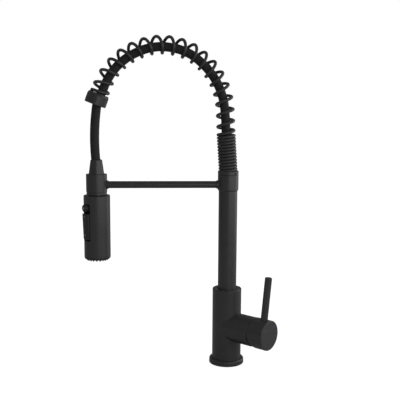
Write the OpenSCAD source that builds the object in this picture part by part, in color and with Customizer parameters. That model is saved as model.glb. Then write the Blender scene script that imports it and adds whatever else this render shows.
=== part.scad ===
// Single-lever kitchen mixer with a coil-spring hose arch and a docked pull-down spray head.
// Millimetres. The origin is the centre of the base ring's underside, +Z up, spout towards -X.

/* [Base and valve body] */
// Diameter of the base ring that stands on the deck
base_d = 54.8; // [52:0.2:60]
// Height of the base ring
base_h = 8; // [7:0.5:10]
// Round on the base ring's top edge
base_round = 2.5; // [1:0.5:3]
// Diameter of the valve body
body_d = 45.8; // [44.6:0.2:47]
// Height of the valve body's top face above the deck
body_top = 121; // [118:1:140]
// Minor diameter of the threaded socket for the mounting shank
shank_socket_d = 31.4; // [29:0.2:33]
// Depth of the shank socket
shank_socket_h = 15; // [12:1:18]
// Minor diameter of the two threaded inlets for the supply hoses
inlet_d = 9; // [7:0.5:9.5]
// Depth of each inlet's thread
inlet_h = 10; // [8:1:11]

/* [Handle] */
// Direction of the handle branch, in degrees from +X
branch_angle = -43; // [-90:1:0]
// Height of the branch's axis above the deck
branch_z = 60; // [56:1:66]
// Distance from the body's axis to the joint between branch and cap
branch_reach = 54; // [54:0.5:60]
// Diameter of the handle cap
cap_d = 46.6; // [45.6:0.2:48]
// Length of the handle cap
cap_len = 27.5; // [27:0.5:32]
// Open seam between the branch and the cap
cap_gap = 1; // [0.4:0.1:1.2]
// Largest tilt of the handle
handle_tilt = 22; // [15:1:23]
// Diameter of the lever rod
lever_d = 11; // [8:0.2:11.4]
// Height of the lever's tip above the deck
lever_top = 150; // [130:1:180]
// Lean of the lever away from the body, in degrees
lever_lean = 5.6; // [0:0.2:8]
// Distance from the cap's joint to the lever's foot
lever_foot = 17.8; // [17:0.2:19]

/* [Riser and arm] */
// Outer diameter of the riser tube
riser_d = 29.2; // [28:0.2:30]
// Wall of the riser tube
riser_wall = 1.5; // [1.2:0.1:2]
// Outer diameter of the arm's collar, and of the ring nut above it
collar_d = 32.2; // [31.4:0.2:33]
// Height of the dock arm's axis above the deck
arm_z = 286.2; // [280:0.2:300]
// Diameter of the dock arm's rod
arm_d = 11; // [8:0.2:12]
// Horizontal distance from the riser's axis to the spray head's axis
reach = 203.2; // [200:0.2:207]

/* [Spring and hose] */
// Outer diameter of the spring
spring_d = 29.6; // [29:0.2:30.4]
// Diameter of the spring's wire
wire_d = 4.2; // [3.2:0.1:4.2]
// Lean of the spring's upright run from the vertical, in degrees
spring_lean = 3.7; // [3.2:0.1:4]
// Length of the spring's upright run
upright_len = 105; // [103:0.5:110]
// Radius of the arch, at the spring's middle
arch_r = 96.8; // [95:0.1:98]
// Angle at which the arch ends, counted from +X
arch_end = 159.6; // [156:0.2:162]
// Turns of the close-wound foot
dense_turns = 11.5; // [8:0.5:11.5]
// Pitch of the close-wound turns
dense_pitch = 4.7; // [4.6:0.1:4.8]
// Turns that open out above the foot
opening_turns = 3; // [2:1:4]
// Pitch of the turns that open out
opening_pitch = 16; // [14:0.5:17]
// Slope of the opening turns, forward along the spring, in degrees
opening_slope = 7; // [0:1:10]
// Slope of the turns over the arch, back along the spring, in degrees
arch_slope = 14; // [0:1:18]
// Outer diameter of the hose
hose_d = 13.8; // [12.8:0.2:14]
// Bore of the hose
hose_bore_d = 8.6; // [8:0.2:9]
// How far the hose lies inside the spring's middle line, over the arch
hose_inset = 2.6; // [2:0.1:2.9]
// Diameter of the spring's end ferrule
ferrule_d = 33.4; // [32.6:0.2:35]
// Height of the end ferrule
ferrule_h = 17.5; // [15:0.5:19]

/* [Dock and spray head] */
// Outer diameter of the dock ring
dock_d = 32.2; // [31.2:0.2:33]
// Height of the dock ring
dock_h = 31.2; // [30:0.2:34]
// Outer diameter of the spray head
head_d = 40.7; // [39.6:0.1:42]
// Height of the spray face above the deck
head_bottom = 170.7; // [165:0.5:175]
// Gap between the dock ring and the top of the head
dock_gap = 1.5; // [1:0.1:3]
// Wall of the head's shell
shell_wall = 1.8; // [1.6:0.1:2]
// Direction that the controls face, in degrees from +X
control_angle = 217; // [180:1:230]
// Width of the control pocket
pocket_w = 17.7; // [17:0.1:18.4]
// Height of the control pocket
pocket_h = 57.5; // [56:0.5:58]
// Tilt of the mode rocker to each side of its middle
rocker_tilt = 2.5; // [1:0.5:3]
// Travel of the pause button
button_travel = 2; // [1:0.5:2.5]
// Spray nozzles in the outer ring
nozzles_outer = 20; // [14:1:24]

/* [Hidden] */
$fn = 96;
eps = 0.01;
// clearances: threads and pressed pieces, running fits, and loose gaps between moving bodies
fit = 0.05;
run = 0.05;
gap = 0.4;
BLACK = [0.13, 0.13, 0.14];
RUBBER = [0.08, 0.08, 0.08];
BRASS = [0.78, 0.62, 0.35];
STEEL = [0.7, 0.71, 0.73];
PLASTIC = [0.2, 0.2, 0.22];
NYLON = [0.85, 0.84, 0.8];
CERAMIC = [0.93, 0.93, 0.9];

// ---- base ring and valve body ----
base_r = base_d / 2;
body_r = body_d / 2;
spigot_r = body_r - 2;
spigot_h = 3.8;
ring_bore_r = spigot_r - 2;
seal_in = ring_bore_r + 3.2;
seal_out = base_r - 2;
seal_h = 1.5;
body_foot = base_h - spigot_h;
socket_r = shank_socket_d / 2;
socket_roof = body_foot + shank_socket_h;
inlet_r = inlet_d / 2;
port_y = 6.5;
port_z = -5.5;
outlet_z = 8;
channel_r = 3;
waterway_r = 6;

// ---- cartridge: places along the branch, counted from the body's axis ----
pivot_s = branch_reach;
seat_s = pivot_s - 24;
base_disc_s = seat_s + 0.6;
fixed_disc_s = base_disc_s + 4.4;
slide_disc_s = fixed_disc_s + 3;
driver_s = slide_disc_s + 3.45;
carrier_s = driver_s + 3.35;
roof_s = carrier_s + 2.7;
rim_s = roof_s + 0.5;
cartridge_top_s = rim_s + 3;
hub_top_s = pivot_s + 4;
cartridge_r = 17.5;
chamber_r = 14.1;
neck_r = 13.1;
hub_r = 8.6;
stem_w = 6;
ball_r = 1.8;
ball_arm = 10.5;
stem_back = ball_arm - 3;
slot_up = stem_back * sin(handle_tilt) + stem_w / 2 * cos(handle_tilt) + 0.3;
slot_down = (hub_top_s - pivot_s) * tan(handle_tilt) + stem_w / 2 / cos(handle_tilt) + 0.3;
pin_r = 1.5;
nut_r = 18.9;
nut_collar_r = 16.4;
dome_r = 21.3;
dome_len = 8.5;
cap_r = cap_d / 2;
cap_bore_r = dome_r + gap;
cap_s = branch_reach + cap_gap;
cap_end_s = cap_s + cap_len;
cap_floor = 10.4;
cap_relief = 15.8;
stem_out = cap_len - 3;
lever_r = lever_d / 2;
lever_s = branch_reach + lever_foot;
lever_base_h = 20;
lever_seat = cap_r - 2.2;
mark_r = 1.3;
mark_y = 12;
mark_z = 10.5;
seam_edge = 0.5;

// ---- swivel and riser ----
recess_r = riser_d / 2 + 0.9;
recess_h = 2.4;
recess_z = body_top - recess_h;
washer_h = 1.2;
riser_r = riser_d / 2;
riser_in = riser_r - riser_wall;
riser_z = recess_z + washer_h + 0.1;
post_r = 10;
post_thread_r = 9;
post_thread_h = 14;
post_top = recess_z + 31.4;
post_bore_r = 5.5;
oring_r = 1.1;
oring_zs = [recess_z + 9.4, recess_z + 17.4];
foot_top = recess_z + 23.4;
clip_h = 1.2;
adapter_z = post_top + 8;
adapter_h = 18;
adapter_top = adapter_z + adapter_h;
nipple_r = hose_bore_d / 2 - fit;
nipple_h = 14;
collar_r = collar_d / 2;
collar_below = 9.8;
collar_above = 15.3;
collar_foot = arm_z - collar_below;
collar_top = arm_z + collar_above;
collar_taper = 2.2;
insert_r = riser_in + 0.4;
insert_shoulder = collar_foot + 3;
insert_z = insert_shoulder - 14;
nut_h = 6.6;
nut_lip = 3;
nut_edge = 1.2;
spring_seat = collar_top + nut_h;
hose_hole_r = hose_d / 2 + 0.9;
arm_r = arm_d / 2;
arm_tip_r = 3;
arm_tip_x = 9.5;
boss_r = arm_r + 1.1;
boss_out = 2;
boss_root = 3;

// ---- the line that the spring's middle follows, in the plane y = 0 ----
wire_r = wire_d / 2;
coil_r = (spring_d - wire_d) / 2;
lean_z = spring_seat - 5.1;
lean_dir = [-sin(spring_lean), cos(spring_lean)];
lean_out = [cos(spring_lean), sin(spring_lean)];
arch_c = [0, lean_z] + upright_len * lean_dir - arch_r * lean_out;
end_out = [cos(arch_end), sin(arch_end)];
end_dir = [-sin(arch_end), cos(arch_end)];
arch_tip = arch_c + arch_r * end_out;
arch_len = arch_r * (arch_end - spring_lean) * PI / 180;
arch_stop = upright_len + arch_len;
ferrule_top_t = 11.1;
function line_at(s) =
    s < upright_len ? [0, lean_z] + s * lean_dir
    : s < arch_stop ? arch_c + arch_r * out_at(s)
    : arch_tip + (s - arch_stop) * end_dir;
function turn_at(s) =
    s < upright_len ? spring_lean
    : s < arch_stop ? spring_lean + (s - upright_len) / arch_r * 180 / PI
    : arch_end;
function out_at(s) = [cos(turn_at(s)), sin(turn_at(s))];

// ---- spring: turns, pitches and the places where they change, counted along that line ----
ring_steps = 8;
wire_sides = 6;
// an eight-sided turn is drawn a little wide, so that its mean radius is the coil's
turn_r = coil_r * 2 / (1 + cos(180 / ring_steps));
start_s = (spring_seat + wire_r + 0.15 - turn_r * sin(spring_lean) - lean_z) / cos(spring_lean);
start_phi = 0;
end_lift = 1.4;
about_pitch = 18;
end_s = arch_stop + ferrule_top_t - wire_r - 0.1;
open_from = start_s + dense_turns * dense_pitch + opening_turns * opening_pitch;
open_turns = round((end_s - end_lift - open_from) / about_pitch);
open_pitch = (end_s - end_lift - open_from) / open_turns;
turn_count = dense_turns + opening_turns + open_turns;
function s_at(turn) =
    turn < dense_turns ? start_s + turn * dense_pitch
    : turn < dense_turns + opening_turns
        ? start_s + dense_turns * dense_pitch + (turn - dense_turns) * opening_pitch
    : turn < turn_count ? open_from + (turn - dense_turns - opening_turns) * open_pitch
    : end_s - end_lift + (turn - turn_count) * 2 * end_lift;
last_turn = turn_count + 0.5;
tail_gap = 0.1;
slope_turns = 4;
function clamped(x) = min(max(x, 0), 1);
// slope of a turn: forward where it opens, then back over the arch, and square again at the ferrule
function slope_at(turn) =
    let (back = clamped((turn - dense_turns - opening_turns) / slope_turns))
    clamped((turn_count - turn) / slope_turns)
        * (back * tan(arch_slope) - (1 - back) * clamped(turn - dense_turns) * tan(opening_slope));
function ring_r(turn) = turn == 0 || turn == last_turn ? coil_r : turn_r;
function coil_point(turn) =
    let (s = s_at(turn), a = start_phi + 360 * turn, c = line_at(s), o = out_at(s), r = ring_r(turn))
    let (along = r * slope_at(turn) * sin(a))
    [c[0] + r * cos(a) * o[0] - along * o[1], r * sin(a), c[1] + r * cos(a) * o[1] + along * o[0]];
function coil_out(turn) =
    let (a = start_phi + 360 * turn, o = out_at(s_at(turn)))
    [cos(a) * o[0], sin(a), cos(a) * o[1]];
start_tang = spring_seat - nut_lip + 0.1;
end_tang = wire_d + 0.4;

// ---- hose route: straights and arcs that meet without a kink ----
hose_r = hose_d / 2;
bore_r = hose_bore_d / 2;
hose_foot = adapter_top + 0.2;
bend_r = 150;
bend_run = bend_r * tan(spring_lean / 2);
hose_arc_r = arch_r - hose_inset;
shoulder_turn = 25;
shoulder_r = (arch_r - hose_arc_r * cos(shoulder_turn)) / (1 - cos(shoulder_turn));
shoulder_at = spring_lean + shoulder_turn;
shoulder_c = arch_c + (hose_arc_r - shoulder_r) * [cos(shoulder_at), sin(shoulder_at)];
shoulder_s = upright_len + (hose_arc_r - shoulder_r) * sin(shoulder_turn);
hose_split = 2;
hose_lap = 0.6;
hose_step = 0.02;

// ---- end ferrule ----
ferrule_r = ferrule_d / 2;
ferrule_foot_t = ferrule_top_t + ferrule_h;
ferrule_foot = arch_tip + ferrule_foot_t * end_dir;
ferrule_top_r = coil_r + wire_r + 0.4;
ferrule_bore_r = coil_r - wire_r - 0.3;
ferrule_chamfer = 3.6;

// ---- dock and head ----
dock_r = dock_d / 2;
dock_below = 14.6;
dock_z = arm_z - dock_below;
dock_top = dock_z + dock_h;
dock_round = 0.8;
dock_neck_h = 3.6;
dock_neck_r = dock_r - 0.5;
liner_in = 12.3;
liner_out = 14;
head_r = head_d / 2;
head_top = dock_z - dock_gap;
head_in = head_r - shell_wall;
shell_top_h = 2.5;
shell_round = 1;
face_h = 3.8;
shell_z = head_bottom + face_h;
neck_out = 11.9;
neck_below = 11.2;
cone_h = 21.6;
neck_top = dock_top - neck_below;
cone_z = neck_top + 0.4;
cone_base = dock_top + 0.4;
cone_top = cone_base + cone_h;
cone_base_r = 11.8;
cone_top_r = 9;
lip_h = 2.2;
collar_post_r = 9.3;
post_head_top = cone_z + 10.3;
tail_flange_z = post_head_top + 0.9;
tail_flange_h = 3.5;
tail_foot = tail_flange_z - 19;
tail_r = 5.5;
tail_bore_r = 3.2;
flange_top = head_top - shell_top_h;
flange_h = 3.7;
core_top = flange_top - flange_h;
core_z = head_bottom + 9.3;
core_r = 12.6;
core_flat = 9.6;
hose_end_z = tail_flange_z + tail_flange_h + 0.3;
crimp_wall = 0.85;
crimp_h = 11;

// ---- free hose: two arcs lead from the ferrule's slant into a plumb fall onto the cone nut ----
plumb = [0, -1];
fall_from = arch_c + hose_arc_r * end_out + ferrule_foot_t * end_dir;
fall_to = [-reach, cone_top];
fall = fall_to - fall_from;
fall_bend = 2 * (1 - end_dir * plumb);
fall_lean = fall * (end_dir + plumb);
fall_arm = (sqrt(fall_lean * fall_lean + fall_bend * (fall * fall)) - fall_lean) / fall_bend;
fall_mid = (fall_from + fall_arm * end_dir + fall_to - fall_arm * plumb) / 2;
mid_dir = (fall_to - fall_arm * plumb - fall_from - fall_arm * end_dir) / 2 / fall_arm;

// ---- controls, in a frame whose +X looks out of the pocket ----
pocket_drop = 41.1;
pocket_mid = head_top - pocket_drop;
pocket_round = 2.5;
tray_floor = 11.2;
tray_back = tray_floor - 1.4;
tray_side = 1.75;
tray_out = head_in - 0.25;
rocker_drop = 6.2;
rocker_mid = pocket_mid - rocker_drop;
rocker_h = 40.4;
rocker_w = pocket_w - 2.3;
rocker_front = head_r + 1.85;
rocker_back = 14.8;
rocker_pin_x = 13.4;
rocker_pin_r = 1;
lug_r = 1.9;
lug_w = 3;
button_rise = 22.4;
button_z = pocket_mid + button_rise;
button_r = 5.7;
button_face = head_r + 3.25;
button_back = 15.4;
button_cup = 4.6;
button_cup_h = 4.1;
stem_r = 2.4;
spool_r = 2.2;
spool_drop = 16.5;
spool_tip = rocker_back - spool_drop * sin(rocker_tilt) - 0.12;

// ---- spray face ----
nozzle_ring_r = 15.6;
nozzle_inner_r = 12;
nozzle_r = 0.9;
aerator_r = 8.8;
mat_h = 1.8;
plate_h = 2.4;

// ---- shared forms ----
module tube(r_out, r_in, h) {
    difference() {
        cylinder(r = r_out, h = h);
        translate([0, 0, -eps]) cylinder(r = r_in, h = h + 2 * eps);
    }
}

// a turned blank whose outer top edge is rounded
module rounded_top(r, h, round) {
    rotate_extrude() union() {
        square([r - round, h]);
        square([r, h - round]);
        translate([r - round, h - round]) circle(r = round);
    }
}

// a turned blank whose outer bottom edge is rounded
module rounded_foot(r, h, round) {
    rotate_extrude() union() {
        square([r - round, h]);
        translate([0, round]) square([r, h - round]);
        translate([r - round, round]) intersection() {
            circle(r = round);
            translate([0, -round]) square(round);
        }
    }
}

// a turned blank with a chamfer round its top edge
module chamfered_top(r, h, edge) {
    rotate_extrude() polygon([[0, 0], [r, 0], [r, h - edge], [r - edge, h], [0, h]]);
}

// what a chamfer takes off round the foot of a turned blank
module foot_chamfer(r, edge) {
    translate([0, 0, -eps]) rotate_extrude() polygon([[r - edge, 0], [r + 1, 0], [r + 1, edge + 1]]);
}

// a rubber ring of round section that lies in the XY plane
module o_ring(ring_r, section_r) {
    rotate_extrude() translate([ring_r, 0]) circle(r = section_r);
}

// frame of the handle branch: +X runs out along the branch, from the body's axis
module on_branch() {
    translate([0, 0, branch_z]) rotate([0, 0, branch_angle]) children();
}

// a child drawn along +Z is laid along the branch, starting at distance s
module along_branch(s) {
    on_branch() translate([s, 0, 0]) rotate([0, 90, 0]) children();
}

// frame of the spray head's axis
module on_head() {
    translate([-reach, 0, 0]) children();
}

// frame of the controls: +X looks out of the pocket
module on_controls() {
    on_head() rotate([0, 0, control_angle]) children();
}

// a child drawn along +Z is laid along the controls' +X, starting at x, at height z
module along_control(x, z) {
    translate([x, 0, z]) rotate([0, 90, 0]) children();
}

// a length of hose bent about c in the plane y = 0, from angle a0 to a1; it is drawn a trace thinner than
// the lengths next to it and runs a little way into them, from a0 by lap0 and from a1 by lap1
module bent_hose(c, r, a0, a1, lap0, lap1) {
    more0 = lap0 / r * 180 / PI;
    more1 = lap1 / r * 180 / PI;
    thin = lap0 + lap1 > 0 ? hose_step : 0;
    translate([c[0], 0, c[1]]) rotate([90, 0, 0]) rotate([0, 0, a0 - more0])
        rotate_extrude(angle = a1 - a0 + more0 + more1) translate([r, 0]) difference() {
            circle(r = hose_r - thin);
            circle(r = bore_r + thin);
        }
}

// an arc of hose from p, heading along t, to q
module hose_arc(p, t, q, lap0, lap1) {
    w = q - p;
    side = t[0] * w[1] - t[1] * w[0];
    r = w * w / 2 / side;
    c = p + r * [-t[1], t[0]];
    turn = abs(2 * atan2(side, t * w));
    first = side > 0 ? p - c : q - c;
    a0 = atan2(first[1], first[0]);
    bent_hose(c, abs(r), a0, a0 + turn, side > 0 ? lap0 : lap1, side > 0 ? lap1 : lap0);
}

// frame of the end ferrule: its foot at the origin, +Z back up the spring
module on_ferrule() {
    translate([ferrule_foot[0], 0, ferrule_foot[1]]) rotate([0, 180 - arch_end, 0]) children();
}

// a tube of wire through the given centres; outs are directions square to the wire
module wire_tube(points, outs, r, sides) {
    n = len(points);
    function dir(i) =
        let (d = points[min(i + 1, n - 1)] - points[max(i - 1, 0)]) d / norm(d);
    rings = [for (i = [0:n - 1])
        let (t = dir(i), o0 = outs[i] - (outs[i] * t) * t, o = o0 / norm(o0), b = cross(t, o))
        for (k = [0:sides - 1]) points[i] + r * (cos(360 * k / sides) * o + sin(360 * k / sides) * b)];
    quads = [for (i = [0:n - 2], k = [0:sides - 1])
        let (a = i * sides + k, b = i * sides + (k + 1) % sides) [a, b, b + sides, a + sides]];
    sides_tri = [for (q = quads) each [[q[0], q[2], q[1]], [q[0], q[3], q[2]]]];
    foot = [for (k = [1:sides - 2]) [0, k, k + 1]];
    last = (n - 1) * sides;
    top = [for (k = [1:sides - 2]) [last, last + k + 1, last + k]];
    polyhedron(points = rings, faces = concat(sides_tri, foot, top));
}

// ---- base ----
module base_ring() color(BLACK) {
    difference() {
        rounded_top(base_r, base_h, base_round);
        translate([0, 0, -eps]) cylinder(r = ring_bore_r, h = base_h);
        translate([0, 0, body_foot]) cylinder(r = spigot_r + fit, h = spigot_h + eps);
        translate([0, 0, -eps]) tube(seal_out, seal_in, seal_h + eps);
    }
}

module deck_seal() color(RUBBER) {
    tube(seal_out - fit, seal_in + fit, seal_h);
}

module valve_body() color(BLACK) {
    difference() {
        union() {
            translate([0, 0, body_foot]) cylinder(r = spigot_r, h = spigot_h + 1);
            translate([0, 0, base_h]) rounded_top(body_r, body_top - base_h, 1);
            along_branch(0) chamfered_top(body_r - 0.05, branch_reach, seam_edge);
        }
        // shank socket, inlets and the drillings that feed the cartridge
        translate([0, 0, body_foot - eps]) cylinder(r = socket_r, h = shank_socket_h + eps);
        rotate([0, 0, branch_angle]) for (side = [-1, 1]) translate([0, side * port_y, 0]) {
            translate([0, 0, socket_roof - eps]) cylinder(r = inlet_r, h = inlet_h + eps);
            translate([0, 0, socket_roof]) cylinder(r = channel_r, h = branch_z + port_z - socket_roof + 2);
        }
        for (side = [-1, 1])
            on_branch() translate([0, side * port_y, port_z]) rotate([0, 90, 0])
                cylinder(r = channel_r, h = seat_s + eps);
        on_branch() translate([0, 0, outlet_z]) rotate([0, 90, 0])
            cylinder(r = channel_r, h = seat_s + eps);
        // cartridge chamber and the nut's thread
        along_branch(seat_s) cylinder(r = cartridge_r + 0.2, h = branch_reach);
        along_branch(rim_s - 1) cylinder(r = nut_r + fit, h = branch_reach);
        // outlet, swivel post's thread and the riser's recess
        translate([0, 0, branch_z + outlet_z - channel_r]) cylinder(r = waterway_r, h = body_top);
        translate([0, 0, recess_z - post_thread_h]) cylinder(r = post_thread_r + fit, h = body_top);
        translate([0, 0, recess_z]) cylinder(r = recess_r, h = body_top);
    }
}

module swivel_post() color(BRASS) {
    difference() {
        union() {
            translate([0, 0, recess_z - post_thread_h]) cylinder(r = post_thread_r, h = post_thread_h + eps);
            translate([0, 0, recess_z]) cylinder(r = post_r, h = post_top - recess_z);
        }
        translate([0, 0, recess_z - post_thread_h - eps])
            cylinder(r = post_bore_r, h = post_top - recess_z + post_thread_h + 1);
        for (z = oring_zs) translate([0, 0, z - 1.4]) tube(post_r + 1, post_r - 2.3, 2.8);
        translate([0, 0, foot_top + gap]) tube(post_r + 1, post_r - 0.7, clip_h + 0.1);
    }
}

module post_o_rings() color(RUBBER) {
    for (z = oring_zs) translate([0, 0, z]) o_ring(post_r - 0.03 - oring_r, oring_r);
}

module post_clip() color(STEEL) {
    translate([0, 0, foot_top + gap + fit]) difference() {
        tube(post_r + 1.6, post_r - 0.65, clip_h);
        // the gap that lets the clip spring over the post
        translate([0, -1.5, -1]) cube([post_r + 5, 3, clip_h + 2]);
    }
}

module slip_washer() color(NYLON) {
    translate([0, 0, recess_z]) tube(recess_r - 0.3, post_r + 0.1, washer_h);
}

// ---- cartridge: the fixed pieces ----
module ports(r, h) {
    for (side = [-1, 1]) translate([-port_z, side * port_y, 0]) cylinder(r = r, h = h);
    translate([-outlet_z, 0, 0]) cylinder(r = r, h = h);
}

module cartridge_base() color(PLASTIC) {
    along_branch(base_disc_s) difference() {
        cylinder(r = cartridge_r - 0.1, h = fixed_disc_s - base_disc_s);
        translate([0, 0, -eps]) ports(channel_r, 10);
        translate([0, 0, -eps]) ports(channel_r + 1.95, 0.8 + eps);
    }
}

module cartridge_seals() color(RUBBER) {
    along_branch(seat_s) difference() {
        ports(channel_r + 1.9, 1.4);
        translate([0, 0, -eps]) ports(channel_r + 0.1, 2);
    }
}

module cartridge_shell() color(PLASTIC) {
    along_branch(fixed_disc_s) difference() {
        union() {
            cylinder(r = cartridge_r, h = rim_s - fixed_disc_s);
            cylinder(r = neck_r, h = cartridge_top_s - fixed_disc_s);
        }
        translate([0, 0, -eps]) cylinder(r = chamber_r, h = roof_s - fixed_disc_s + eps);
        cylinder(r = hub_r + run, h = 40);
    }
}

module ceramic_seat() color(CERAMIC) {
    along_branch(fixed_disc_s) difference() {
        cylinder(r = chamber_r - fit, h = 3);
        translate([0, 0, -eps]) ports(channel_r - 0.4, 4);
    }
}

module cartridge_nut() color(BRASS) {
    along_branch(rim_s) difference() {
        union() {
            cylinder(r = nut_r, h = branch_reach - rim_s);
            cylinder(r = nut_collar_r, h = branch_reach - rim_s + 3);
        }
        translate([0, 0, -eps]) cylinder(r = neck_r + fit, h = 40);
    }
}

module dome_cover() color(BLACK) {
    along_branch(branch_reach) difference() {
        intersection() {
            sphere(r = dome_r);
            cylinder(r = dome_r + 1, h = dome_len);
        }
        // the thin shell stands on the branch and is located by the nut's collar
        intersection() {
            sphere(r = dome_r - 1.5);
            translate([0, 0, 2.5]) cylinder(r = dome_r, h = dome_len);
        }
        translate([0, 0, -eps]) cylinder(r = nut_collar_r + fit, h = dome_len + 1);
    }
}

// ---- cartridge: the moving pieces ----
module stem_carrier() color(NYLON) {
    difference() {
        along_branch(carrier_s) union() {
            cylinder(r = chamber_r - 0.2, h = roof_s - carrier_s - 0.1);
            cylinder(r = hub_r, h = hub_top_s - carrier_s);
        }
        // slot that lets the stem tilt, and the pin's hole
        on_branch() translate([carrier_s - 1, -stem_w / 2 - 0.15, -slot_down])
            cube([pivot_s, stem_w + 0.3, slot_down + slot_up]);
        on_branch() translate([pivot_s, hub_r + 1, 0]) rotate([90, 0, 0])
            cylinder(r = pin_r + fit, h = 2 * hub_r + 2);
    }
}

module stem_pin() color(STEEL) {
    on_branch() translate([pivot_s, hub_r - 0.3, 0]) rotate([90, 0, 0])
        cylinder(r = pin_r, h = 2 * hub_r - 0.6);
}

module ceramic_slider() color(CERAMIC) {
    along_branch(slide_disc_s + 0.05) difference() {
        cylinder(r = 9.6, h = driver_s - slide_disc_s - 0.05);
        // mixing hollow that joins the ports when the disc is moved
        translate([-2, 0, -eps]) cylinder(r = 5.4, h = 1.8);
    }
}

module slider_driver() color(NYLON) {
    along_branch(driver_s) difference() {
        cylinder(r = 9.2, h = 3.1);
        translate([0, 0, -eps]) cylinder(r = ball_r + 0.3, h = 4);
    }
}

module cartridge_stem() color(STEEL) {
    difference() {
        union() {
            along_branch(pivot_s - ball_arm) rotate_extrude() union() {
                intersection() {
                    circle(r = ball_r);
                    translate([0, -ball_r]) square([ball_r, 2 * ball_r]);
                }
                square([1.4, ball_arm - stem_back + 1]);
            }
            on_branch() translate([pivot_s - stem_back, -stem_w / 2, -stem_w / 2])
                cube([stem_back + stem_out, stem_w, stem_w]);
        }
        on_branch() translate([pivot_s, stem_w, 0]) rotate([90, 0, 0])
            cylinder(r = pin_r + run, h = 2 * stem_w);
    }
}

// ---- handle ----
// frame of the lever: origin on its axis, +Z out of the cap
module on_lever() {
    on_branch() translate([lever_s, 0, lever_base_h]) rotate([0, lever_lean, 0]) children();
}

module handle_cap() color(BLACK) {
    difference() {
        along_branch(cap_s) rounded_top(cap_r, cap_len, 1.2);
        along_branch(cap_s) foot_chamfer(cap_r, seam_edge);
        // room for the dome, deeper below the stem where the dome swings in
        along_branch(cap_s - eps) cylinder(r = cap_bore_r, h = cap_floor + eps);
        intersection() {
            along_branch(cap_s) cylinder(r = cap_bore_r, h = cap_relief);
            on_branch() translate([branch_reach, -cap_bore_r, -cap_bore_r - 1])
                cube([cap_relief + 5, 2 * cap_bore_r, cap_bore_r + stem_w / 2 + 2]);
        }
        // slant under the pivot, so that the rim clears the branch at full tilt
        on_branch() translate([cap_s, 0, 0]) rotate([0, -handle_tilt - 1, 0])
            translate([-cap_len, -cap_r - 1, -2 * cap_r]) cube([cap_len, 2 * cap_r + 2, 2 * cap_r]);
        // sockets: stem, lever and marks
        on_branch() translate([branch_reach, -stem_w / 2 - fit, -stem_w / 2 - fit])
            cube([stem_out + 0.1, stem_w + 2 * fit, stem_w + 2 * fit]);
        on_lever() translate([0, 0, lever_seat - lever_base_h]) cylinder(r = lever_r + fit, h = 30);
        on_lever() translate([0, 0, -10]) cylinder(r = 3 + fit, h = 20);
        for (side = [-1, 1]) along_branch(cap_end_s - 0.6)
            translate([-mark_z, side * mark_y, 0]) cylinder(r = mark_r + fit, h = 2);
        // grub screw's hole, from the back of the cap into the stem
        on_branch() translate([cap_end_s - 6.5, 0, 0]) rotate([-90, 0, 0]) cylinder(r = 2 + fit, h = 40);
    }
}

module lever() color(BLACK) {
    length = (lever_top - branch_z - lever_base_h) / cos(lever_lean);
    on_lever() union() {
        translate([0, 0, -9.5]) cylinder(r = 3, h = 12);
        translate([0, 0, lever_seat - lever_base_h])
            rounded_top(lever_r, length - lever_seat + lever_base_h, 0.8);
    }
}

module cap_screw() color(STEEL) {
    on_branch() translate([cap_end_s - 6.5, stem_w / 2 + fit + 0.1, 0]) rotate([-90, 0, 0]) difference() {
        cylinder(r = 2, h = 6);
        // hexagon socket
        translate([0, 0, 4]) cylinder(r = 1.15, h = 3, $fn = 6);
    }
}

module temperature_mark(side) {
    along_branch(cap_end_s - 0.6) translate([-mark_z, side * mark_y, 0]) cylinder(r = mark_r, h = 0.6);
}

module hot_mark() color([0.75, 0.12, 0.12]) temperature_mark(-1);
module cold_mark() color([0.15, 0.25, 0.75]) temperature_mark(1);

// ---- riser ----
module riser_tube() color(BLACK) {
    translate([0, 0, riser_z]) tube(riser_r, riser_in, insert_shoulder - riser_z);
}

module riser_foot() color(BRASS) {
    translate([0, 0, riser_z]) tube(riser_in - fit, post_r + run, foot_top - riser_z);
}

module hose_adapter() color(BRASS) {
    difference() {
        union() {
            translate([0, 0, adapter_z]) cylinder(r = riser_in - fit, h = adapter_h);
            translate([0, 0, adapter_top - eps]) cylinder(r = nipple_r, h = nipple_h);
        }
        translate([0, 0, adapter_z - eps]) cylinder(r = nipple_r - 1.2, h = adapter_h + nipple_h + 1);
        translate([0, 0, adapter_z + 6]) tube(riser_in + 1, riser_in - 2.4, 2.8);
    }
}

module adapter_o_ring() color(RUBBER) {
    translate([0, 0, adapter_z + 7.4]) o_ring(riser_in - 0.1 - oring_r, oring_r);
}

module crimp_lower() color(STEEL) {
    translate([0, 0, adapter_top + 0.1]) tube(hose_r + fit + crimp_wall, hose_r + fit, nipple_h);
}

module riser_insert() color(BRASS) {
    difference() {
        union() {
            translate([0, 0, insert_z]) cylinder(r = riser_in - fit, h = insert_shoulder - insert_z + eps);
            translate([0, 0, insert_shoulder])
                cylinder(r = insert_r, h = spring_seat - nut_lip - insert_shoulder);
        }
        translate([0, 0, insert_z - eps]) cylinder(r = hose_hole_r, h = 60);
        // tapped hole for the arm's tip
        translate([-insert_r - 1, 0, arm_z]) rotate([0, 90, 0])
            cylinder(r = arm_tip_r + fit, h = insert_r + 1 - arm_tip_x + 0.3);
    }
}

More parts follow.
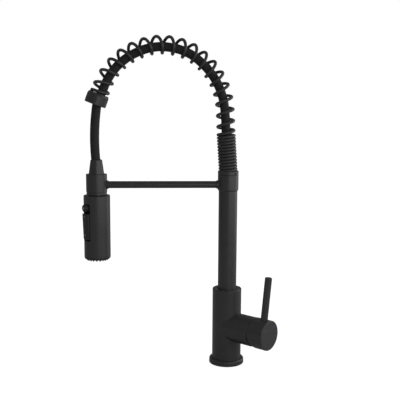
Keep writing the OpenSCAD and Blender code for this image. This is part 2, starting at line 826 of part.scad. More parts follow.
module arm_collar() color(BLACK) {
    difference() {
        union() {
            translate([0, 0, collar_foot + collar_taper])
                chamfered_top(collar_r, collar_top - collar_foot - collar_taper, seam_edge);
            translate([0, 0, collar_foot]) cylinder(r1 = riser_r + 0.3, r2 = collar_r, h = collar_taper);
            translate([-collar_r - boss_out, 0, arm_z]) rotate([0, 90, 0])
                cylinder(r = boss_r, h = boss_out + boss_root);
        }
        translate([0, 0, collar_foot - eps])
            cylinder(r = riser_r + fit, h = insert_shoulder - collar_foot + eps);
        translate([0, 0, collar_foot]) cylinder(r = insert_r + fit, h = 40);
        translate([-collar_r - boss_out - 1, 0, arm_z]) rotate([0, 90, 0])
            cylinder(r = arm_r + fit, h = collar_r);
    }
}

module ring_nut() color(BLACK) {
    difference() {
        translate([0, 0, collar_top]) chamfered_top(collar_r, nut_h, nut_edge);
        translate([0, 0, collar_top]) foot_chamfer(collar_r, seam_edge);
        translate([0, 0, collar_top - eps])
            cylinder(r = insert_r + fit, h = spring_seat - nut_lip - collar_top + eps);
        cylinder(r = hose_hole_r, h = spring_seat + 1);
        // hole that takes the spring's tail
        translate([coil_first[0], 0, spring_seat - nut_lip - 1])
            cylinder(r = wire_r + tail_gap, h = nut_lip + 2);
        rotate([0, 0, -50]) translate([insert_r, 0, collar_top + 2.3]) rotate([0, 90, 0])
            cylinder(r = 1.5 + fit, h = 5);
    }
}

module ring_screw() color(STEEL) {
    rotate([0, 0, -50]) translate([insert_r + 0.1, 0, collar_top + 2.3]) rotate([0, 90, 0]) difference() {
        cylinder(r = 1.5, h = collar_r - insert_r - 0.6);
        translate([0, 0, collar_r - insert_r - 1.5]) cylinder(r = 0.87, h = 2, $fn = 6);
    }
}

// ---- dock arm ----
module arm_rod() color(BLACK) {
    difference() {
        union() {
            translate([-reach, 0, arm_z]) rotate([0, 90, 0]) cylinder(r = arm_r, h = reach - insert_r - 0.3);
            translate([-insert_r - 1, 0, arm_z]) rotate([0, 90, 0])
                cylinder(r = arm_tip_r, h = insert_r + 1 - arm_tip_x);
        }
        // saddle that is brazed to the dock ring
        translate([-reach, 0, dock_z - 1]) cylinder(r = dock_r, h = dock_h + 2);
    }
}

module dock_ring() color(BLACK) {
    on_head() translate([0, 0, dock_z]) difference() {
        union() {
            cylinder(r = dock_neck_r, h = dock_neck_h + 1);
            translate([0, 0, dock_neck_h]) difference() {
                rounded_top(dock_r, dock_h - dock_neck_h, dock_round);
                foot_chamfer(dock_r, seam_edge);
            }
            // boss round the end of the rod
            translate([dock_r - boss_root, 0, dock_below]) rotate([0, 90, 0])
                tube(boss_r, arm_r + fit, boss_root + boss_out);
        }
        translate([0, 0, -eps]) cylinder(r = liner_out + fit, h = dock_h + 1);
    }
}

module dock_liner() color(NYLON) {
    on_head() translate([0, 0, dock_z + 0.3]) difference() {
        cylinder(r = liner_out, h = dock_h - 0.6);
        translate([0, 0, -eps]) cylinder(r = liner_in, h = dock_h);
        // mouth that leads the neck in
        translate([0, 0, -eps]) cylinder(r1 = liner_in + 1, r2 = liner_in, h = 2);
        translate([0, 0, dock_h - 2.6]) cylinder(r1 = liner_in, r2 = liner_in + 1, h = 2 + eps);
    }
}

// ---- spring, its ferrule and the hose ----
steps = round(last_turn * ring_steps);
coil = [for (i = [0:steps]) coil_point(i / ring_steps)];
coil_sides = [for (i = [0:steps]) coil_out(i / ring_steps)];
coil_first = coil[0];
coil_last = coil[steps];
tail_first = [coil_first[0], coil_first[1], start_tang];
tail_last = coil_last + (end_tang + wire_r) * [end_dir[0], 0, end_dir[1]];
// least distance between the middle of one turn and the turns next to it, less the wire
turn_gaps = [for (i = [0:steps - ring_steps + 1])
    min([for (j = [ring_steps - 1:min(ring_steps + 1, steps - i)]) norm(coil[i + j] - coil[i])]) - wire_d];
echo(spring_turns = last_turn, spring_least_gap = min(turn_gaps));  // spring

module spring() color(BLACK) {
    wire_tube(
        concat([tail_first], coil, [tail_last]),
        concat([coil_sides[0]], coil_sides, [coil_sides[steps]]),
        wire_r, wire_sides);
}

module end_ferrule() color(BLACK) {
    tail_x = -coil_r * cos(start_phi + 360 * last_turn);
    on_ferrule() difference() {
        rotate_extrude() difference() {
            polygon([
                [ferrule_bore_r, 0], [ferrule_r - 0.8, 0], [ferrule_r, 0.8],
                [ferrule_r, ferrule_h - ferrule_chamfer], [ferrule_top_r, ferrule_h],
                [ferrule_bore_r, ferrule_h]
            ]);
            translate([0, 2.5]) square([ferrule_bore_r + 1.6, ferrule_h - 9]);
        }
        // hole that takes the spring's other tail
        translate([tail_x, 0, ferrule_h - end_tang - 0.6]) cylinder(r = wire_r + tail_gap, h = 10);
    }
}

module arch_hose() color(RUBBER) {
    straight = lean_z - bend_run - hose_foot;
    lean_at = [0, lean_z] + bend_run * lean_dir;
    union() {
        translate([0, 0, hose_foot]) straight_hose(straight);
        bent_hose([-bend_r, lean_z - bend_run], bend_r, 0, spring_lean, hose_lap, hose_lap);
        translate([lean_at[0], 0, lean_at[1]]) rotate([0, -spring_lean, 0])
            straight_hose(shoulder_s - bend_run);
        bent_hose(shoulder_c, shoulder_r, spring_lean, shoulder_at, hose_lap, hose_lap);
        bent_hose(arch_c, hose_arc_r, shoulder_at, arch_end, 0, 0);
        on_ferrule() translate([hose_inset, 0, hose_split])
            straight_hose(ferrule_foot_t - hose_split, hose_lap);
    }
}

// a straight length of the hose that runs up by lap into the bent length above it
module straight_hose(h, lap = 0) {
    thin = lap > 0 ? hose_step : 0;
    rotate_extrude() translate([bore_r + thin, 0]) square([hose_r - bore_r - 2 * thin, h + lap]);
}

module drop_hose() color(RUBBER) {
    union() {
        on_ferrule() translate([hose_inset, 0, 0]) straight_hose(hose_split);
        hose_arc(fall_from, end_dir, fall_mid, hose_lap, hose_lap);
        hose_arc(fall_mid, mid_dir, fall_to, 0, 0);
        on_head() translate([0, 0, hose_end_z]) straight_hose(cone_top - hose_end_z, hose_lap);
    }
}

// ---- hose end, which slides out of the dock with the head ----
module cone_nut() color(BLACK) {
    on_head() difference() {
        rotate_extrude() union() {
            translate([0, cone_z]) square([neck_out - 0.2, cone_base - cone_z - 1]);
            polygon([
                [0, cone_base - 1.5], [cone_base_r, cone_base - 1.5], [cone_base_r, cone_base],
                [cone_top_r, cone_top - 1], [cone_top_r - 0.7, cone_top], [0, cone_top]
            ]);
        }
        translate([0, 0, cone_z - eps]) cylinder(r = collar_post_r - 0.9, h = lip_h + 2 * eps);
        translate([0, 0, cone_z + lip_h]) cylinder(r = collar_post_r + 0.1, h = hose_end_z - cone_z - lip_h);
        translate([0, 0, hose_end_z - eps]) cylinder(r = hose_r + crimp_wall + 2 * fit, h = crimp_h + 0.5);
        cylinder(r = hose_r + 0.2, h = cone_top + 1);
    }
}

module crimp_upper() color(STEEL) {
    on_head() translate([0, 0, hose_end_z]) tube(hose_r + fit + crimp_wall, hose_r + fit, crimp_h);
}

module hose_tail() color(BRASS) {
    on_head() difference() {
        union() {
            translate([0, 0, tail_foot]) cylinder(r = tail_r, h = tail_flange_z - tail_foot + eps);
            translate([0, 0, tail_flange_z]) cylinder(r = collar_post_r, h = tail_flange_h);
            translate([0, 0, tail_flange_z]) cylinder(r = nipple_r, h = tail_flange_h + nipple_h);
        }
        translate([0, 0, tail_foot - eps]) cylinder(r = tail_bore_r, h = 60);
        translate([0, 0, tail_foot + 4]) tube(tail_r + 1, tail_r - 1.7, 2.2);
    }
}

module tail_o_ring() color(RUBBER) {
    on_head() translate([0, 0, tail_foot + 5.1]) o_ring(tail_r - 0.03 - 0.8, 0.8);
}

// ---- spray head ----
module head_neck() color(BRASS) {
    on_head() difference() {
        union() {
            translate([0, 0, core_top]) cylinder(r = head_in - 0.1, h = flange_h);
            translate([0, 0, core_top]) cylinder(r = neck_out, h = neck_top - core_top);
            translate([0, 0, core_top]) cylinder(r = collar_post_r - 1, h = post_head_top - core_top);
            translate([0, 0, cone_z + lip_h + 0.2])
                cylinder(r = collar_post_r, h = post_head_top - cone_z - lip_h - 0.2);
        }
        translate([0, 0, core_top - eps]) cylinder(r = tail_r + run, h = 60);
        translate([0, 0, core_top - eps]) cylinder(r = 8.2, h = tail_foot - core_top - 0.4);
    }
}

module check_valve() color(PLASTIC) {
    on_head() translate([0, 0, core_top + 1]) {
        tube(8.1, 5.6, 14);
        // poppet on three ribs
        for (k = [0:2]) rotate([0, 0, 120 * k]) translate([0, -0.6, 4]) cube([6, 1.2, 4]);
        translate([0, 0, 3]) cylinder(r = 3.4, h = 6);
    }
}

module pocket_block(x0, x1, w, h, round) {
    translate([x0, 0, pocket_mid]) rotate([0, 90, 0]) linear_extrude(x1 - x0) union() {
        square([h - 2 * round, w], center = true);
        square([h, w - 2 * round], center = true);
        for (u = [-1, 1], v = [-1, 1])
            translate([u * (h / 2 - round), v * (w / 2 - round)]) circle(r = round);
    }
}

module head_shell() color(BLACK) {
    difference() {
        on_head() translate([0, 0, shell_z]) rounded_top(head_r, head_top - shell_z, shell_round);
        on_head() translate([0, 0, shell_z - 1]) cylinder(r = head_in, h = flange_top - shell_z + 1);
        on_head() cylinder(r = neck_out + fit, h = head_top + 1);
        on_controls() pocket_block(5, 30, pocket_w, pocket_h, pocket_round);
    }
}

module head_core() color(PLASTIC) {
    difference() {
        on_head() union() {
            translate([0, 0, core_z]) cylinder(r = core_r, h = core_top - core_z);
            translate([0, 0, core_top - 3]) cylinder(r = head_in - 0.1, h = 3);
            translate([0, 0, core_z]) cylinder(r = head_in - 0.1, h = 3);
        }
        // flat side behind the control tray
        on_controls() translate([core_flat, -head_r, core_z + 3])
            cube([head_r, 2 * head_r, core_top - core_z - 6]);
        // waterway, button bore and spool bore
        on_head() translate([0, 0, core_z + 8]) cylinder(r = 4, h = core_top);
        on_head() translate([0, 0, core_z - 1]) cylinder(r = 2.4, h = 20);
        on_controls() along_control(-9, button_z) cylinder(r = stem_r + run, h = 30);
        on_controls() along_control(-9, rocker_mid - spool_drop) cylinder(r = spool_r + run, h = 30);
    }
}

module control_tray() color(RUBBER) {
    difference() {
        intersection() {
            on_head() translate([0, 0, core_z + 3.1]) cylinder(r = tray_out, h = core_top - core_z - 6.2);
            on_controls() pocket_block(tray_back, 20, pocket_w + 2 * tray_side, pocket_h + 2 * tray_side, 3);
        }
        on_controls() pocket_block(tray_floor, 30, pocket_w, pocket_h, pocket_round);
        on_controls() along_control(5, button_z) cylinder(r = stem_r + run, h = 10);
        on_controls() along_control(5, rocker_mid - spool_drop) cylinder(r = spool_r + run, h = 10);
        on_controls() translate([rocker_pin_x, 12, rocker_mid]) rotate([90, 0, 0])
            cylinder(r = rocker_pin_r + fit, h = 24);
    }
}

module rocker_pin() color(STEEL) {
    on_controls() translate([rocker_pin_x, pocket_w / 2 + 1.4, rocker_mid]) rotate([90, 0, 0])
        cylinder(r = rocker_pin_r, h = pocket_w + 2.8);
}

module button_spring() color(STEEL) {
    turns = 4;
    length = button_back + button_cup_h - button_travel - tray_floor - 1.1;
    r = (button_cup + stem_r) / 2;
    outs = [for (i = [0:turns * ring_steps]) [cos(360 * i / ring_steps), sin(360 * i / ring_steps), 0]];
    points = [for (i = [0:turns * ring_steps]) r * outs[i] + [0, 0, length * i / turns / ring_steps]];
    on_controls() along_control(tray_floor + 0.5, button_z) wire_tube(points, outs, 0.4, wire_sides);
}

// frame of the rocker, at rest with its top out
module on_rocker() {
    on_controls() translate([rocker_pin_x, 0, rocker_mid]) rotate([0, rocker_tilt, 0]) children();
}

module mode_rocker() color(BLACK) {
    lug_y = rocker_w / 2 - lug_w;
    on_rocker() difference() {
        union() {
            intersection() {
                translate([-rocker_pin_x, 0, -rocker_h / 2]) cylinder(r = rocker_front, h = rocker_h);
                translate([rocker_back - rocker_pin_x, 0, 0]) rotate([0, 90, 0])
                    linear_extrude(15) union() {
                        square([rocker_h - 4, rocker_w], center = true);
                        square([rocker_h, rocker_w - 4], center = true);
                        for (u = [-1, 1], v = [-1, 1])
                            translate([u * (rocker_h / 2 - 2), v * (rocker_w / 2 - 2)]) circle(r = 2);
                    }
            }
            for (side = [-1, 1]) translate([0, side * (lug_y + lug_w / 2), 0]) {
                rotate([90, 0, 0]) cylinder(r = lug_r, h = lug_w, center = true);
                translate([0, -lug_w / 2, -lug_r]) cube([rocker_back - rocker_pin_x + 1, lug_w, 2 * lug_r]);
            }
            // raised touch marks near both ends
            translate([rocker_front - rocker_pin_x - 0.3, 0, rocker_h / 2 - 8]) rotate([0, 90, 0])
                cylinder(r = 1, h = 0.7);
            translate([rocker_front - rocker_pin_x - 0.3, 0, 6 - rocker_h / 2]) rotate([0, 90, 0])
                tube(1.8, 1.1, 0.7);
        }
        rotate([90, 0, 0]) cylinder(r = rocker_pin_r + run, h = 40, center = true);
    }
}

module pause_button() color(BLACK) {
    on_controls() difference() {
        union() {
            along_control(button_back, button_z) rounded_top(button_r, button_face - button_back, 0.8);
            along_control(-6, button_z) cylinder(r = stem_r, h = button_back + 8);
        }
        along_control(button_back - eps, button_z) tube(button_cup, stem_r, button_cup_h);
        // ring groove on the face
        along_control(button_face - 0.5, button_z) tube(4.1, 3.3, 1);
    }
}

module diverter_spool() color(BRASS) {
    on_controls() along_control(-7, rocker_mid - spool_drop) difference() {
        cylinder(r = spool_r, h = spool_tip + 7);
        for (x = [3, 9]) translate([0, 0, x]) tube(spool_r + 1, spool_r - 0.8, 1.6);
    }
}

// ---- spray face ----
module nozzle_places() {
    for (k = [0:nozzles_outer - 1]) rotate([0, 0, 360 * k / nozzles_outer])
        translate([nozzle_ring_r, 0, 0]) children();
    inner = round(nozzles_outer * 0.6);
    for (k = [0:inner - 1]) rotate([0, 0, 360 * k / inner]) translate([nozzle_inner_r, 0, 0]) children();
}

module flow_plate() color(PLASTIC) {
    on_head() translate([0, 0, core_z - plate_h]) difference() {
        cylinder(r = head_in - 0.1, h = plate_h);
        translate([0, 0, -eps]) cylinder(r = aerator_r + fit, h = plate_h + 1);
        for (k = [0:5]) rotate([0, 0, 60 * k]) translate([(aerator_r + head_in) / 2, 0, -eps])
            cylinder(r = 1.6, h = plate_h + 1);
    }
}

module nozzle_mat() color([0.3, 0.3, 0.32]) {
    top = core_z - plate_h;
    on_head() difference() {
        union() {
            translate([0, 0, top - mat_h]) cylinder(r = head_in - 0.1, h = mat_h);
            nozzle_places() translate([0, 0, head_bottom - 0.5])
                cylinder(r1 = nozzle_r - 0.3, r2 = nozzle_r, h = top - head_bottom);
        }
        translate([0, 0, head_bottom]) cylinder(r = aerator_r + fit, h = 20);
    }
}

module spray_face() color(BLACK) {
    top = core_z - plate_h - mat_h;
    on_head() translate([0, 0, head_bottom]) difference() {
        union() {
            rounded_foot(head_r, face_h, 3);
            cylinder(r = head_in - 0.1, h = top - head_bottom);
        }
        translate([0, 0, -eps]) cylinder(r = aerator_r + fit, h = 20);
        translate([0, 0, -1]) nozzle_places() cylinder(r = nozzle_r + 0.1, h = 20);
    }
}

module aerator() color(STEEL) {
    on_head() translate([0, 0, head_bottom + 0.8]) difference() {
        cylinder(r = aerator_r, h = core_z - head_bottom - 0.9);
        // honeycomb outlet
        for (k = [-2:2], j = [-2:2]) translate([3 * k + (abs(j) % 2) * 1.5, 2.6 * j, -1])
            if (norm([3 * k + (abs(j) % 2) * 1.5, 2.6 * j]) < aerator_r - 2) cylinder(r = 1.15, h = 4);
        translate([0, 0, 3 - eps]) cylinder(r = aerator_r - 1.2, h = 10);
    }
}

base_ring();
deck_seal();
valve_body();
swivel_post();
post_o_rings();
post_clip();
slip_washer();
cartridge_base();
cartridge_seals();
cartridge_shell();
ceramic_seat();
cartridge_nut();
dome_cover();
stem_carrier();
stem_pin();
ceramic_slider();
slider_driver();
cartridge_stem();
handle_cap();
cap_screw();
lever();
hot_mark();
cold_mark();
riser_tube();
riser_foot();
hose_adapter();
adapter_o_ring();
crimp_lower();
riser_insert();
arm_collar();
arm_rod();
ring_nut();
ring_screw();
dock_ring();
dock_liner();
spring();
end_ferrule();
arch_hose();
drop_hose();
cone_nut();
crimp_upper();
hose_tail();
tail_o_ring();
head_neck();
check_valve();
head_shell();
head_core();
control_tray();
rocker_pin();
button_spring();
flow_plate();
nozzle_mat();
spray_face();
aerator();
mode_rocker();
pause_button();
diverter_spool();
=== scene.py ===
import math

import bpy
from mathutils import Matrix, Vector


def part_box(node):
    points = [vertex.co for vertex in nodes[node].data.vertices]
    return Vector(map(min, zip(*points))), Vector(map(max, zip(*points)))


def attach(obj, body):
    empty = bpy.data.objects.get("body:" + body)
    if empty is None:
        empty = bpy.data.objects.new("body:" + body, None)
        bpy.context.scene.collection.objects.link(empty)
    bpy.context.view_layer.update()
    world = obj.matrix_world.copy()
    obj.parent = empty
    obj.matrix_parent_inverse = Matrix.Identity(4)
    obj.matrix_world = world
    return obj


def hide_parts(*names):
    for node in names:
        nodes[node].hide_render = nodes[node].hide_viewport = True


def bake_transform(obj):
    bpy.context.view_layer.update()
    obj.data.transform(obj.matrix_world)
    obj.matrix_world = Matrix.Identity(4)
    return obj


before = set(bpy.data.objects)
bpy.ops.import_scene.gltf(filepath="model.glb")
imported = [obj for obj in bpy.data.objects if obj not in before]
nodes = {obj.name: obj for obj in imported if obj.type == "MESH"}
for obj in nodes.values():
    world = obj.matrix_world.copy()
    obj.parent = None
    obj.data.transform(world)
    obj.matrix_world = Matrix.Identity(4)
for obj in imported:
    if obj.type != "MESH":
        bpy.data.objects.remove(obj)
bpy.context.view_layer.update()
scene = bpy.context.scene
collection = scene.collection

# --- Camera ---
# It stands in front of the tap, between the riser and the spray head and level with the end ferrule,
# and looks slightly down, so that the base ring shows its top and the arch its inner side.
camera_place = (-0.1107, -1.0786, 0.4101)
camera_turn, camera_down, camera_roll = (math.radians(a) for a in (3.554, 7.807, 0.321))

camera_data = bpy.data.cameras.new("camera")
camera_data.lens = 63.04
camera_data.sensor_width = 36.0
camera = bpy.data.objects.new("camera", camera_data)
camera.matrix_world = (
    Matrix.Translation(camera_place)
    @ Matrix.Rotation(-camera_turn, 4, "Z")
    @ Matrix.Rotation(math.pi / 2 - camera_down, 4, "X")
    @ Matrix.Rotation(camera_roll, 4, "Z")
)
collection.objects.link(camera)
bpy.context.scene.camera = camera

# --- Studio ---
# A pale table before a white backdrop. A long softbox runs from behind the camera round to the right,
# level with the tap, so that round parts are dark at the left and step to a lit right half. A smaller
# one behind the right side lights their edges.
scene.view_settings.view_transform = "Standard"


def lay_nodes(tree):
    """Empties a node tree and returns a function that adds a node with its settings and inputs."""
    tree.nodes.clear()

    def add(kind, inputs=(), **settings):
        node = tree.nodes.new(kind)
        for name, value in settings.items():
            setattr(node, name, value)
        for socket, value in dict(inputs).items():
            if isinstance(value, bpy.types.NodeSocket):
                tree.links.new(value, node.inputs[socket])
            else:
                node.inputs[socket].default_value = value
        return node

    return add


def fill_world(ambient, mirrored):
    """White to the camera, ambient on matt surfaces and mirrored in glossy ones."""
    world = bpy.data.worlds.new("studio")
    world.use_nodes = True
    add = lay_nodes(world.node_tree)
    path = add("ShaderNodeLightPath")
    seen = add(
        "ShaderNodeMath",
        {0: path.outputs["Is Camera Ray"], 1: path.outputs["Is Transmission Ray"]},
        operation="MAXIMUM",
    )
    glossy = add(
        "ShaderNodeMath",
        {0: path.outputs["Is Glossy Ray"], 1: mirrored - ambient, 2: ambient},
        operation="MULTIPLY_ADD",
    )
    level = add("ShaderNodeMath", {0: glossy.outputs[0], 1: seen.outputs[0]}, operation="MAXIMUM")
    background = add(
        "ShaderNodeBackground",
        {"Color": (1.0, 1.0, 1.0, 1.0), "Strength": level.outputs[0]},
    )
    add("ShaderNodeOutputWorld", {"Surface": background.outputs[0]})
    scene.world = world


def hang_softbox(name, place, aim, width, height, power):
    """A rectangular lamp at place that faces aim."""
    lamp = bpy.data.lights.new(name, "AREA")
    lamp.shape = "RECTANGLE"
    lamp.size = width
    lamp.size_y = height
    lamp.energy = power
    box = bpy.data.objects.new(name, lamp)
    box.location = place
    box.rotation_mode = "QUATERNION"
    box.rotation_quaternion = (Vector(aim) - Vector(place)).to_track_quat("-Z", "Y")
    collection.objects.link(box)


def lay_floor(size, tone, glow):
    """The pale table: it shows white to the camera, and keeps the tap's shadow."""
    mesh = bpy.data.meshes.new("floor")
    corners = [(-size, -size, 0), (size, -size, 0), (size, size, 0), (-size, size, 0)]
    mesh.from_pydata(corners, [], [(0, 1, 2, 3)])
    floor = bpy.data.objects.new("floor", mesh)
    collection.objects.link(floor)
    material = bpy.data.materials.new("pale table")
    material.use_nodes = True
    add = lay_nodes(material.node_tree)
    path = add("ShaderNodeLightPath")
    lift = add("ShaderNodeMath", {0: path.outputs["Is Camera Ray"], 1: glow}, operation="MULTIPLY")
    surface = add(
        "ShaderNodeBsdfPrincipled",
        {
            "Base Color": (tone, tone, tone, 1.0),
            "Roughness": 0.9,
            "Specular IOR Level": 0.0,
            "Emission Color": (1.0, 1.0, 1.0, 1.0),
            "Emission Strength": lift.outputs[0],
        },
    )
    add("ShaderNodeOutputMaterial", {"Surface": surface.outputs[0]})
    mesh.materials.append(material)


tap_middle = (-0.1, 0.0, 0.28)
fill_world(ambient=0.56, mirrored=0.15)
hang_softbox("long softbox", (1.2, -1.34, 0.5), tap_middle, width=3.1, height=1.1, power=13.5)
hang_softbox("edge softbox", (1.19, 0.39, 0.55), tap_middle, width=1.0, height=1.3, power=5.0)
lay_floor(size=6.0, tone=0.4, glow=0.82)

# --- Valve body and base ring ---
# Cast brass, turned and drilled, then powder coated matt black. The ring is a separate turned
# foot that hides the tap hole. The coat is a fine, even orange peel with hardly any gloss.
grain_height = 0.00008


def make_grain_group():
    """Fine texture of a coated or moulded surface: its colour, roughness and height."""
    group = bpy.data.node_groups.new("surface grain", "ShaderNodeTree")
    face = group.interface
    for name, kind, start in (
        ("Tone", "NodeSocketColor", (0.02, 0.02, 0.02, 1.0)),
        ("Grain", "NodeSocketFloat", 2400.0),
        ("Roughness", "NodeSocketFloat", 0.5),
        ("Variation", "NodeSocketFloat", 0.1),
        ("Dust", "NodeSocketFloat", 0.02),
    ):
        face.new_socket(name, in_out="INPUT", socket_type=kind).default_value = start
    for name, kind in (
        ("Color", "NodeSocketColor"),
        ("Roughness", "NodeSocketFloat"),
        ("Height", "NodeSocketFloat"),
    ):
        face.new_socket(name, in_out="OUTPUT", socket_type=kind)
    add = lay_nodes(group)
    given = add("NodeGroupInput").outputs
    place = add("ShaderNodeTexCoord").outputs["Object"]
    fine = add(
        "ShaderNodeTexNoise",
        {"Vector": place, "Scale": given["Grain"], "Detail": 2.0, "Roughness": 0.55},
    )
    patches = add(
        "ShaderNodeTexNoise",
        {"Vector": place, "Scale": 38.0, "Detail": 3.0, "Roughness": 0.6},
    )
    # handling and dust: upward faces carry a trace of pale dust, broken up by the patches
    normal = add("ShaderNodeNewGeometry").outputs["Normal"]
    up = add("ShaderNodeSeparateXYZ", {0: normal}).outputs["Z"]
    dusty = add(
        "ShaderNodeMath",
        {0: up, 1: patches.outputs["Fac"]},
        operation="MULTIPLY",
        use_clamp=True,
    )
    dust = add("ShaderNodeMath", {0: dusty.outputs[0], 1: given["Dust"]}, operation="MULTIPLY")
    spread = add(
        "ShaderNodeMapRange",
        {"Value": patches.outputs["Fac"], "From Min": 0.3, "From Max": 0.7, "To Min": -1.0, "To Max": 1.0},
    )
    shift = add(
        "ShaderNodeMath",
        {0: spread.outputs["Result"], 1: given["Variation"]},
        operation="MULTIPLY",
    )
    gain = add("ShaderNodeMath", {0: shift.outputs[0], 1: 1.0}, operation="ADD")
    toned = add("ShaderNodeVectorMath", {0: given["Tone"], "Scale": gain.outputs[0]}, operation="SCALE")
    # sockets 6 and 7 are the two colours that are mixed, and output 2 is the mixed one
    color = add(
        "ShaderNodeMix",
        {"Factor": dust.outputs[0], 6: toned.outputs[0], 7: (0.45, 0.43, 0.40, 1.0)},
        data_type="RGBA",
    )
    rough = add(
        "ShaderNodeMath",
        {0: shift.outputs[0], 1: 0.5, 2: given["Roughness"]},
        operation="MULTIPLY_ADD",
    )
    add(
        "NodeGroupOutput",
        {"Color": color.outputs[2], "Roughness": rough.outputs[0], "Height": fine.outputs["Fac"]},
    )
    return group


grain_group = make_grain_group()


def grained(name, tone, grain, roughness, bump, dust=0.02, specular=0.5, metallic=0.0):
    """A coated, moulded or turned surface with its own grain."""
    material = bpy.data.materials.new(name)
    material.use_nodes = True
    add = lay_nodes(material.node_tree)
    look = add("ShaderNodeGroup", node_tree=grain_group)
    for socket, value in (
        ("Tone", (*tone, 1.0)),
        ("Grain", grain),
        ("Roughness", roughness),
        ("Dust", dust),
    ):
        look.inputs[socket].default_value = value
    relief = add(
        "ShaderNodeBump",
        {"Height": look.outputs["Height"], "Strength": bump, "Distance": grain_height},
    )
    surface = add(
        "ShaderNodeBsdfPrincipled",
        {
            "Base Color": look.outputs["Color"],
            "Roughness": look.outputs["Roughness"],
            "Normal": relief.outputs["Normal"],
            "Specular IOR Level": specular,
            "Metallic": metallic,
        },
    )
    add("ShaderNodeOutputMaterial", {"Surface": surface.outputs[0]})
    return material


def dress(material, *names):
    """Gives CAD nodes their finish."""
    for name in names:
        slots = nodes[name].data.materials
        slots.clear()
        slots.append(material)


powder_coat = grained("powder coat", tone=(0.029, 0.029, 0.030), grain=2600.0, roughness=0.30, bump=0.25)
dress(powder_coat, "valve_body", "base_ring")

# --- Seals and swivel ---
# Moulded nitrile seals lie under the base ring and round the turned brass post that the riser turns on.
# A spring steel clip, sprung over the post, holds the riser's foot above an acetal washer. They only
# show when the tap is apart.
nitrile = grained("nitrile rubber", tone=(0.012, 0.012, 0.012), grain=900.0, roughness=0.65, bump=0.25)
turned_brass = grained(
    "turned brass",
    tone=(0.60, 0.43, 0.19),
    grain=1500.0,
    roughness=0.30,
    bump=0.10,
    dust=0.0,
    metallic=1.0,
)
turned_steel = grained(
    "turned steel",
    tone=(0.55, 0.56, 0.57),
    grain=1500.0,
    roughness=0.28,
    bump=0.10,
    dust=0.0,
    metallic=1.0,
)
acetal = grained("acetal", tone=(0.70, 0.69, 0.64), grain=700.0, roughness=0.45, bump=0.10, dust=0.0)
dress(nitrile, "deck_seal", "post_o_rings")
dress(turned_brass, "swivel_post")
dress(turned_steel, "post_clip")
dress(acetal, "slip_washer")

# --- Cartridge ---
# Glass-filled plastic shell and base round two lapped ceramic discs that meter and mix the water.
# A steel stem slides one disc on the other by an acetal driver, and a brass nut holds it in the branch.
filled_plastic = grained(
    "filled plastic", tone=(0.10, 0.10, 0.11), grain=1200.0, roughness=0.5, bump=0.2, dust=0.0
)
ceramic = grained(
    "lapped ceramic", tone=(0.80, 0.79, 0.74), grain=400.0, roughness=0.2, bump=0.02, dust=0.0
)
dress(filled_plastic, "cartridge_base", "cartridge_shell")
dress(ceramic, "ceramic_seat", "ceramic_slider")
dress(nitrile, "cartridge_seals")
dress(acetal, "stem_carrier", "slider_driver")
dress(turned_steel, "cartridge_stem", "stem_pin")
dress(turned_brass, "cartridge_nut")

# --- Handle ---
# Zinc cap that a grub screw clamps on the cartridge stem, with a turned steel lever, and a thin dome on
# the branch behind it, all powder coated as the body. Two small enamel dots on the cap's face mark the
# hot and the cold side.
blackened = grained(
    "blackened steel",
    tone=(0.03, 0.03, 0.032),
    grain=1500.0,
    roughness=0.4,
    bump=0.1,
    dust=0.0,
    metallic=1.0,
)
hot_enamel = grained(
    "hot enamel", tone=(0.26, 0.020, 0.022), grain=600.0, roughness=0.4, bump=0.05, dust=0.0
)
cold_enamel = grained(
    "cold enamel", tone=(0.030, 0.042, 0.160), grain=600.0, roughness=0.4, bump=0.05, dust=0.0
)
dress(powder_coat, "handle_cap", "lever", "dome_cover")
dress(blackened, "cap_screw")
dress(hot_enamel, "hot_mark")
dress(cold_enamel, "cold_mark")

# --- Riser, collar, dock arm and dock ring ---
# Drawn brass tube and turned collars, with the arm brazed into the dock ring. All of it is powder
# coated in one go, so the finish runs on without a seam. Brass bushes fill the tube's two ends, and
# an acetal liner guides the spray head into the dock.
dress(powder_coat, "riser_tube", "arm_collar", "arm_rod", "ring_nut", "dock_ring")
dress(turned_brass, "riser_foot", "riser_insert")
dress(blackened, "ring_screw")
dress(acetal, "dock_liner")

# --- Spring ---
# One length of spring steel wire, wound close at the foot and open over the arch, coated black.
# Its foot is ground flat where it stands on the ring nut, and its top end is bent straight into a hole
# in the end ferrule.
mm = 0.001
wire_r = 2.36 * mm
wire_sides = 14
coil_r = 12.5 * mm
spring_seat = 308.1 * mm
seat_gap = 0.15 * mm
ground_gap = 0.05 * mm
line_foot = Vector((0.0, 0.0, 303.0 * mm))
spring_lean = math.radians(3.7)
arch_end = math.radians(159.6)
upright = 105.0 * mm
arch_r = 96.8 * mm
arch_run = arch_r * (arch_end - spring_lean)
ferrule_top = 11.1 * mm
ferrule_gap = 0.1 * mm
# the wire ends half a turn past turn_count, in the bent tail
turn_count = 29.5
last_turn = turn_count + 0.5
ground_turns = 0.7
turns_close, pitch_close = 11.6, 4.7 * mm
pitch_first = 13.2 * mm
pitch_growth = 0.05 * mm
end_rise = 1.4 * mm
tail_bend = 2.6 * mm
tail_length = 6.0 * mm
opening_slope, arch_slope = math.tan(math.radians(2.5)), math.tan(math.radians(17))
slope_from, slope_turns, square_turns = 14.5, 6, 4
points_per_turn = 28
ease_turns, ease_steps = 0.25, 4
# pairs of a distance along the sprung line and how far it stands outside a true arc there, in mm
line_shifts = (
    (0, 0),
    (60, 0),
    (95, 0.5),
    (135, -0.5),
    (180, -0.7),
    (205, 0.2),
    (250, 0.0),
    (300, -1.2),
    (350, -1.3),
    (377, -0.9),
)


def clamped(value):
    """The value, kept from 0 to 1."""
    return min(max(value, 0.0), 1.0)


